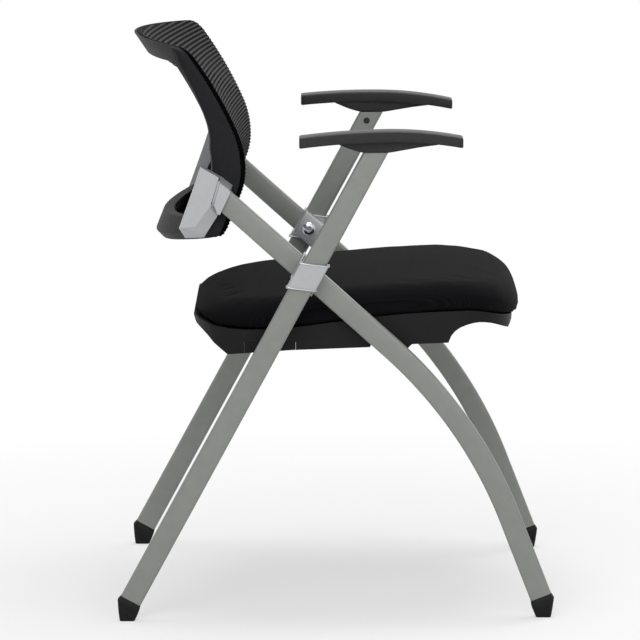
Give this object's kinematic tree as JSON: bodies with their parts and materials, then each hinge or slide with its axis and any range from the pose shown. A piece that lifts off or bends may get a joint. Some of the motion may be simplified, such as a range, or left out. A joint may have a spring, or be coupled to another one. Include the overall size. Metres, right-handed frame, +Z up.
{
  "type": "nesting chair",
  "caption": "Folding nesting chair: crossed steel leg frames, ribbed mesh back, arm pads and a padded seat that tips up as the frames close.",
  "frame": {"origin": "on the floor under the middle of the chair", "axes": "+X the way the sitter faces, +Y to the sitter's left, +Z up"},
  "size_m": [0.5994, 0.648, 0.789],
  "materials": {
    "frame_grey": "light grey powder coat, low sheen",
    "foot_rubber": "black, matt",
    "cast_silver": "silver, satin",
    "nylon": "natural nylon",
    "zinc": "bright plated steel",
    "arm_plastic": "dark grey, fine grain",
    "black_steel": "black",
    "mesh_fabric": "black and grey ribbed mesh",
    "back_plastic": "dark grey, fine grain",
    "black_plastic": "black",
    "shell_plastic": "dark grey, fine grain",
    "plywood": "plain plywood, inside the cushion",
    "seat_fabric": "black woven fabric"
  },
  "bodies": {
    "front_frame": {"front_leg_left": "frame_grey", "front_leg_right": "frame_grey", "front_crossbar": "frame_grey", "front_foot_left": "foot_rubber", "front_foot_right": "foot_rubber", "front_sleeve_left": "cast_silver", "front_sleeve_right": "cast_silver", "pivot_spacer_left": "zinc", "pivot_spacer_right": "zinc", "back_frame": "back_plastic", "mesh_carrier": "black_plastic", "back_mesh": "mesh_fabric", "back_bracket_left": "cast_silver", "back_bracket_right": "cast_silver", "back_screw_lower_left": "zinc", "back_screw_lower_right": "zinc", "back_screw_upper_left": "zinc", "back_screw_upper_right": "zinc"},
    "rear_frame": {"rear_leg_left": "frame_grey", "rear_leg_right": "frame_grey", "rear_crossbar": "frame_grey", "rear_foot_left": "foot_rubber", "rear_foot_right": "foot_rubber", "rear_sleeve_left": "cast_silver", "rear_sleeve_right": "cast_silver", "pivot_washer_left": "nylon", "pivot_washer_right": "nylon", "pivot_bolt_left": "zinc", "pivot_bolt_right": "zinc", "pivot_nut_left": "zinc", "pivot_nut_right": "zinc", "arm_pad_left": "arm_plastic", "arm_pad_right": "arm_plastic", "arm_screw_left": "black_steel", "arm_screw_right": "black_steel"},
    "seat": {"seat_shell": "shell_plastic", "seat_board": "plywood", "seat_cushion": "seat_fabric", "hinge_bush_left": "nylon", "hinge_bush_right": "nylon", "hinge_cap_left": "shell_plastic", "hinge_cap_right": "shell_plastic", "cap_screw_rear_left": "black_steel", "cap_screw_rear_right": "black_steel", "cap_screw_front_left": "black_steel", "cap_screw_front_right": "black_steel", "seat_hook_left": "black_steel", "seat_hook_right": "black_steel", "seat_screw_rear_right": "zinc", "seat_screw_rear_left": "zinc", "seat_screw_front_right": "zinc", "seat_screw_front_left": "zinc"}
  },
  "joints": [
    {"name": "frame_fold", "type": "hinge", "parent": "front_frame", "child": "rear_frame", "pos_m": [-0.03887, 0, 0.4764], "axis": [0, -1, 0], "range_deg": [0, 60]},
    {"name": "seat_lift", "type": "hinge", "parent": "rear_frame", "child": "seat", "pos_m": [-0.09109, 0, 0.3801], "axis": [0, -1, 0], "range_deg": [0, 30]}
  ],
  "couplings": [
    {"joint": "seat_lift", "follows": "frame_fold", "ratio": 0.5}
  ]
}
